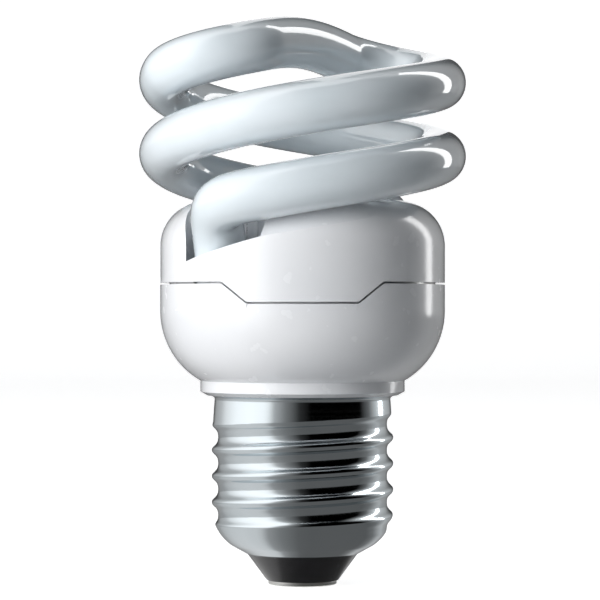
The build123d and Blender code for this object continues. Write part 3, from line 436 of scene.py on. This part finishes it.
def glass_tube():
    """Leg, bend, helix, top bend and bridge, then the same half a turn round, swept with a circle."""
    tree = Tree("tube_route")
    turns = (COIL_END_ANGLE - COIL_START_ANGLE) / (2 * math.pi)
    leg, bend = leg_and_bend(tree, polar(COIL_RADIUS, COIL_START_ANGLE, COIL_START_HEIGHT))
    half = tree.one_curve(leg, bend, coil(tree, turns), top_bend(tree, turns))
    other_half = tree.moved(half, rotation=(0, 0, math.pi))
    other_half = tree.node("GeometryNodeReverseCurve", {"Curve": other_half}).outputs[0]
    route = tree.one_curve(half, other_half)
    ring = tree.node("GeometryNodeCurvePrimitiveCircle", {"Resolution": TUBE_SIDES, "Radius": 1.0}).outputs[0]
    sweep = {"Curve": route, "Profile Curve": ring, "Scale": tube_thickness(tree), "Fill Caps": True}
    swept = tree.node("GeometryNodeCurveToMesh", sweep).outputs[0]
    smooth = tree.node("GeometryNodeSetShadeSmooth", {"Geometry": swept}).outputs[0]
    return tree.mesh(smooth, MATERIALS["tube_glass"])


add_piece("glass_tube", glass_tube(), "discharge_tube")


# Screw cap: a turned profile with the rounded thread pressed into it
CAP_COLUMNS = 256
BOTTOM_STEPS = 6
CURVE_STEPS = 28
BARREL_STEPS = 112
SKIRT_STEPS = 24
FLARE_STEPS = 8
THREAD_BLEND = 0.35 * MM


def cap_profile():
    """Points from the cap's mouth up its outer face to the flared rim."""
    mouth = Vector(CAP_MOUTH)
    shoulder = Vector(CAP_SHOULDER)
    barrel = Vector((THREAD_CREST_RADIUS, CAP_CURVE_HEIGHT))
    points = [mouth.lerp(shoulder, share / BOTTOM_STEPS) for share in range(BOTTOM_STEPS)]
    bulge = (barrel + shoulder) / 2 + Vector((CAP_CURVE_BULGE, -CAP_CURVE_BULGE)) * 2
    for step in range(CURVE_STEPS + 1):
        share = step / CURVE_STEPS
        points.append(shoulder * (1 - share) ** 2 + bulge * 2 * share * (1 - share) + barrel * share**2)
    skirt_start = SKIRT_BOTTOM - SKIRT_EASING
    for step in range(1, BARREL_STEPS + 1):
        height = CAP_CURVE_HEIGHT + (skirt_start - CAP_CURVE_HEIGHT) * (step / BARREL_STEPS)
        points.append(Vector((THREAD_CREST_RADIUS, height)))
    flare_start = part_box("cap_shell")[1].z - RIM_HEIGHT
    for step in range(1, SKIRT_STEPS + 1):
        share = step / SKIRT_STEPS
        eased = min(1.0, 4 * share)
        radius = THREAD_CREST_RADIUS + (SKIRT_RADIUS - THREAD_CREST_RADIUS) * (3 * eased**2 - 2 * eased**3)
        radius += (RIM_RADIUS - RIM_FLARE - SKIRT_RADIUS) * share
        points.append(Vector((radius, skirt_start + (flare_start - skirt_start) * share)))
    for step in range(1, FLARE_STEPS + 1):
        turn = math.pi / 2 * step / FLARE_STEPS
        radius = RIM_RADIUS - RIM_FLARE * math.cos(turn)
        points.append(Vector((radius, flare_start + RIM_HEIGHT * math.sin(turn))))
    return points


def thread_radius(angle, height):
    """Radius of the rounded thread at a place on the cap, fading out behind the cap at its top."""
    root = THREAD_ROOT_HEIGHT_LEFT + THREAD_PITCH * (angle - math.pi) / (2 * math.pi)
    turns = round((height - root) / THREAD_PITCH)
    travelled = angle + 2 * math.pi * turns
    fade = min(1.0, max(0.0, (THREAD_TOP_ANGLE - travelled) / THREAD_TOP_FADE))
    fade = fade * fade * (3 - 2 * fade)
    from_crest = THREAD_PITCH * (0.5 - abs((height - root) / THREAD_PITCH - turns))
    crest = math.exp(-((from_crest / THREAD_CREST_WIDTH) ** 2))
    return THREAD_CREST_RADIUS - (THREAD_CREST_RADIUS - THREAD_ROOT_RADIUS) * (1 - crest) * fade


def softer_lesser(a, b):
    """The lesser of two radii, rounded where they cross."""
    share = max(0.0, min(1.0, 0.5 + (b - a) / (2 * THREAD_BLEND)))
    return b + (a - b) * share - THREAD_BLEND * share * (1 - share)


def screw_cap():
    """The profile turned round the axis in columns, then given the sheet's thickness inwards."""
    profile = cap_profile()
    vertices = []
    for point in profile:
        in_thread = CAP_SHOULDER[1] < point.y < SKIRT_BOTTOM + THREAD_PITCH
        for column in range(CAP_COLUMNS):
            angle = 2 * math.pi * column / CAP_COLUMNS
            radius = softer_lesser(point.x, thread_radius(angle, point.y)) if in_thread else point.x
            vertices.append(polar(radius, angle, point.y))
    faces = []
    for row in range(len(profile) - 1):
        low = row * CAP_COLUMNS
        high = low + CAP_COLUMNS
        for column in range(CAP_COLUMNS):
            beside = (column + 1) % CAP_COLUMNS
            faces.append((low + column, low + beside, high + beside, high + column))
    mesh = bpy.data.meshes.new("screw_cap")
    mesh.from_pydata(vertices, [], faces)
    for face in mesh.polygons:
        face.use_smooth = True
    holder = bpy.data.objects.new("screw_cap_sheet", mesh)
    bpy.context.scene.collection.objects.link(holder)
    thickness = holder.modifiers.new("sheet", "SOLIDIFY")
    thickness.thickness = CAP_SHEET
    thickness.offset = -1
    made = baked(holder)
    bpy.data.objects.remove(holder)
    return made


add_piece("screw_cap", screw_cap(), "cap_shell")


# Covers: the moulded forms, with the true slope of their turned faces and crisp edges
CREASE = math.cos(math.radians(14.0))
TURNED_CREASE = math.cos(math.radians(60.0))
SLIVER_SHARE = 0.04
JOIN_DISTANCE = 0.0005 * MM
NEAR_TURNED = 0.03 * MM
TURNED_ARCS = ((SHOULDER_RADIUS, SHOULDER_HEIGHT, 1), (BOWL_RADIUS, BOWL_HEIGHT, -1))


def turned_normal(point):
    """Normal of the covers' outer face at a point on it, or None away from it."""
    radius = math.hypot(point.x, point.y)
    wall_bottom = BOWL_HEIGHT - NEAR_TURNED
    wall_top = SHOULDER_HEIGHT + NEAR_TURNED
    flat = None
    if abs(radius - COVER_RADIUS) < NEAR_TURNED and wall_bottom < point.z < wall_top:
        flat = Vector((1, 0))
    for arc_radius, arc_height, side in TURNED_ARCS:
        out = Vector((radius - (COVER_RADIUS - arc_radius), point.z - arc_height))
        if out.y * side > 0 and out.x > 0 and abs(out.length - arc_radius) < NEAR_TURNED:
            flat = out.normalized()
    if flat is None:
        return None
    return Vector((flat.x * point.x / radius, flat.x * point.y / radius, flat.y))


def steady_normals(mesh):
    """Each face's normal, but for a sliver that of the largest face beside it."""
    beside = {}
    for face in mesh.polygons:
        for key in face.edge_keys:
            beside.setdefault(key, []).append(face.index)
    steady = []
    for face in mesh.polygons:
        longest = max((mesh.vertices[a].co - mesh.vertices[b].co).length for a, b in face.edge_keys)
        chosen = face
        if face.area < SLIVER_SHARE * longest**2:
            near = {index for key in face.edge_keys for index in beside[key]}
            chosen = max((mesh.polygons[index] for index in near), key=lambda other: other.area)
        steady.append(Vector(chosen.normal))
    return steady


def corner_normals(mesh):
    """A normal for each face corner: exact on the turned faces, and elsewhere the mean up to a crease."""
    steady = steady_normals(mesh)
    turned = [turned_normal(vertex.co) for vertex in mesh.vertices]
    fans = {}
    for face in mesh.polygons:
        for vertex in face.vertices:
            fans.setdefault(vertex, []).append(face.index)
    normals = [None] * len(mesh.loops)
    for face in mesh.polygons:
        own = steady[face.index]
        limit = TURNED_CREASE if all(turned[vertex] for vertex in face.vertices) else CREASE
        for corner in face.loop_indices:
            vertex = mesh.loops[corner].vertex_index
            exact = turned[vertex]
            if exact and exact.dot(own) > limit:
                normals[corner] = exact
                continue
            total = Vector()
            for other in fans[vertex]:
                if steady[other].dot(own) > CREASE:
                    total += steady[other] * mesh.polygons[other].area
            normals[corner] = total.normalized() if total.length else own
    return normals


def dressed(name, node):
    """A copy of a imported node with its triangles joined, smooth up to the crease."""
    mesh = frame["nodes"][node].data.copy()
    mesh.name = name
    work = bmesh.new()
    work.from_mesh(mesh)
    bmesh.ops.remove_doubles(work, verts=work.verts, dist=JOIN_DISTANCE)
    work.to_mesh(mesh)
    work.free()
    for face in mesh.polygons:
        face.use_smooth = True
    normals = corner_normals(mesh)
    for edge in mesh.edges:
        edge.use_edge_sharp = True
    mesh.normals_split_custom_set(normals)
    return add_piece(name, mesh, node)


dressed("upper_shell", "upper_cover")
dressed("lower_shell", "lower_cover")


# Pieces inside the covers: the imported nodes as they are, with their finishes
REMADE = {"discharge_tube", "cap_shell", "upper_cover", "lower_cover"}
for node, carried in frame["nodes"].items():
    if node in REMADE:
        continue
    slot = SLOT_OF_NODE[node]
    carried.data.materials.clear()
    carried.data.materials.append(MATERIALS[slot])


# Studio: pale paper, two soft lamps at the left and the front left, and a tall strip behind at the right
def seen_or_mirrored(tree):
    """1 for the camera's own rays and for those that gloss and glass send on, 0 for light on matt faces."""
    path = tree.nodes.new("ShaderNodeLightPath").outputs
    seen = path["Is Camera Ray"]
    for kind in ("Is Glossy Ray", "Is Transmission Ray"):
        either = tree.nodes.new("ShaderNodeMath")
        either.operation = "MAXIMUM"
        tree.links.new(seen, either.inputs[0])
        tree.links.new(path[kind], either.inputs[1])
        seen = either.outputs[0]
    return seen


def stage_material(name, colour, glow):
    """A matt surface that is near white to the camera and in reflections, and keeps its shadows."""
    finish = Finish(name, Base_Color=(*colour, 1), Roughness=1.0)
    finish.shader.inputs["Specular IOR Level"].default_value = 0.0
    inputs = {0: seen_or_mirrored(finish.tree), 1: glow}
    strength = finish.node("ShaderNodeMath", inputs, operation="MULTIPLY").outputs[0]
    finish.shader.inputs["Emission Color"].default_value = (1, 1, 1, 1)
    finish.feed("Emission Strength", strength)
    return finish.material


LAMP_TARGET = Vector((0, 0, 0.045))


def lamp(name, azimuth, elevation, distance, size, power):
    """A soft lamp facing the bulb. Azimuth is clockwise from the camera, seen from above, in degrees."""
    light = bpy.data.lights.new(name, "AREA")
    light.shape = "RECTANGLE"
    light.size, light.size_y = size
    light.energy = power
    made = bpy.data.objects.new(name, light)
    bpy.context.scene.collection.objects.link(made)
    turn = math.radians(azimuth)
    lean = math.radians(elevation)
    out = Vector((-math.sin(turn) * math.cos(lean), -math.cos(turn) * math.cos(lean), math.sin(lean)))
    made.location = LAMP_TARGET + out * distance
    made.rotation_euler = (-out).to_track_quat("-Z", "Y").to_euler()
    made.visible_camera = False
    return made


SWEEP_HALF_WIDTH = 0.5
SWEEP_FRONT = -0.10
SWEEP_BACK = 1.2
SWEEP_HEIGHT = 0.6
SWEEP_CURVE = 0.15
SWEEP_STEPS = 8


def paper_sweep(material):
    """A sheet of paper that lies under the bulb and curves up far behind it."""
    line = [(SWEEP_FRONT, 0.0), (SWEEP_BACK - SWEEP_CURVE, 0.0)]
    for step in range(1, SWEEP_STEPS + 1):
        turn = math.pi / 2 * step / SWEEP_STEPS
        line.append((SWEEP_BACK - SWEEP_CURVE * (1 - math.sin(turn)), SWEEP_CURVE * (1 - math.cos(turn))))
    line.append((SWEEP_BACK, SWEEP_HEIGHT))
    vertices = [(side * SWEEP_HALF_WIDTH, y, z) for y, z in line for side in (-1, 1)]
    faces = [(2 * i, 2 * i + 1, 2 * i + 3, 2 * i + 2) for i in range(len(line) - 1)]
    mesh = bpy.data.meshes.new("paper_sweep")
    mesh.from_pydata(vertices, [], faces)
    mesh.materials.append(material)
    for face in mesh.polygons:
        face.use_smooth = True
    made = bpy.data.objects.new("paper_sweep", mesh)
    bpy.context.scene.collection.objects.link(made)


# Walls of the set, which only gloss, metal and glass see. Their brightness follows the azimuth in degrees.
# 0 is the camera's side and left is negative. The light fades out towards the camera and behind the bulb.
WALL_RADIUS = 0.95
WALL_GAP = math.radians(16)
WALL_BOTTOM = -0.5
WALL_TOP = 1.0
WALL_STEPS = 96
ROOF_HOLE_RADIUS = 0.25 * WALL_RADIUS
TABLE_LIFT = 0.2 * MM
LEFT_WALL_LIGHT = (
    (-165, 0.05), (-150, 0.40), (-129, 0.60), (-116, 0.95), (-95, 1.28), (-70, 1.40),
    (-50, 1.30), (-44, 1.10), (-36, 0.50), (-22, 0.23), (-4, 0.03),
)
RIGHT_WALL_LIGHT = (
    (10, 0.0), (80, 0.0), (95, 0.15), (112, 0.70), (121, 0.86), (132, 0.60), (150, 0.40), (165, 0.05),
)
WALL_LIGHT = LEFT_WALL_LIGHT + RIGHT_WALL_LIGHT


def wall_material(name, share_of_light, least):
    """Light by azimuth, as a share of the walls' light over a least level."""
    finish = Finish(name, Base_Color=(0, 0, 0, 1), Roughness=1.0)
    finish.shader.inputs["Specular IOR Level"].default_value = 0.0
    place = finish.node("ShaderNodeSeparateXYZ", {"Vector": finish.place}).outputs
    front = finish.node("ShaderNodeMath", {0: place["Y"], 1: -1.0}, operation="MULTIPLY").outputs[0]
    azimuth = finish.node("ShaderNodeMath", {0: place["X"], 1: front}, operation="ARCTAN2").outputs[0]
    inputs = {"Value": azimuth, "From Min": -math.pi, "From Max": math.pi}
    share = finish.node("ShaderNodeMapRange", inputs).outputs["Result"]
    brightest = max(light for _, light in WALL_LIGHT)
    ramp = finish.node("ShaderNodeValToRGB", {"Fac": share})
    stops = ramp.color_ramp.elements
    for angle, light in WALL_LIGHT[1:-1]:
        stops.new(0.5 + angle / 360)
    for stop, (angle, light) in zip(stops, WALL_LIGHT):
        stop.position = 0.5 + angle / 360
        level = (least + light * share_of_light) / brightest
        stop.color = (level, level, level, 1)
    finish.feed("Emission Color", ramp.outputs["Color"])
    finish.shader.inputs["Emission Strength"].default_value = brightest
    return finish.material


def reflections_only(name, mesh, material):
    """Puts a surface on the stage that shows in reflections and nowhere else."""
    mesh.materials.append(material)
    made = bpy.data.objects.new(name, mesh)
    bpy.context.scene.collection.objects.link(made)
    made.visible_camera = False
    made.visible_diffuse = False
    made.visible_shadow = False


def set_walls():
    """Cloth that hangs round the set and over it, with a gap for the backdrop."""
    ring = ((ROOF_HOLE_RADIUS, WALL_TOP), (WALL_RADIUS, WALL_TOP), (WALL_RADIUS, WALL_BOTTOM))
    vertices = []
    for step in range(WALL_STEPS + 1):
        angle = WALL_GAP / 2 + (2 * math.pi - WALL_GAP) * step / WALL_STEPS
        vertices += [(math.sin(angle) * radius, math.cos(angle) * radius, height) for radius, height in ring]
    faces = []
    for step in range(WALL_STEPS):
        for row in (3 * step, 3 * step + 1):
            faces.append((row, row + 3, row + 4, row + 1))
    mesh = bpy.data.meshes.new("set_walls")
    mesh.from_pydata(vertices, [], faces)
    reflections_only("set_walls", mesh, wall_material("wall", 1.0, 0.0))


def painted_table_reflection():
    """A round sheet on the table with a painted reflection: it glows with the walls' light, dulled, over a
    low level of its own.
    """
    vertices = [(0, 0, TABLE_LIFT)]
    faces = []
    for step in range(WALL_STEPS):
        angle = 2 * math.pi * step / WALL_STEPS
        vertices.append((WALL_RADIUS * math.sin(angle), WALL_RADIUS * math.cos(angle), TABLE_LIFT))
        faces.append((0, 1 + step, 1 + (step + 1) % WALL_STEPS))
    mesh = bpy.data.meshes.new("painted_table_reflection")
    mesh.from_pydata(vertices, [], faces)
    reflections_only("painted_table_reflection", mesh, wall_material("table", 0.45, 0.12))


paper_sweep(stage_material("paper", (0.72, 0.73, 0.74), 0.87))
set_walls()
# The table sheet glows with a painted reflection of the walls, which only gloss, metal and glass see, in
# place of the paper
painted_table_reflection()

# Each lamp's azimuth and elevation in degrees, its distance, width and height in metres, and its watts.
# In reflections the walls stand in for the two softboxes.
SOFTBOXES = (
    lamp("left_softbox", 79, 8, 0.62, (0.95, 1.1), 1.3),
    lamp("front_left_softbox", 44, 6, 0.75, (0.45, 1.1), 9.6),
)
for softbox in SOFTBOXES:
    softbox.visible_glossy = False
lamp("right_strip", -121, 28, 0.62, (0.12, 0.8), 0.9)


def studio_world(level, colour):
    """Low even light in the room, white to the camera and to gloss and glass."""
    world = bpy.data.worlds.new("studio")
    world.use_nodes = True
    tree = world.node_tree
    dim = tree.nodes["Background"]
    dim.inputs["Color"].default_value = (*colour, 1)
    dim.inputs["Strength"].default_value = level
    white = tree.nodes.new("ShaderNodeBackground")
    white.inputs["Color"].default_value = (1, 1, 1, 1)
    white.inputs["Strength"].default_value = 1.0
    mix = tree.nodes.new("ShaderNodeMixShader")
    tree.links.new(seen_or_mirrored(tree), mix.inputs[0])
    tree.links.new(dim.outputs[0], mix.inputs[1])
    tree.links.new(white.outputs[0], mix.inputs[2])
    tree.links.new(mix.outputs[0], tree.nodes["World Output"].inputs["Surface"])
    bpy.context.scene.world = world


studio_world(0.05, (0.8, 0.9, 1.0))
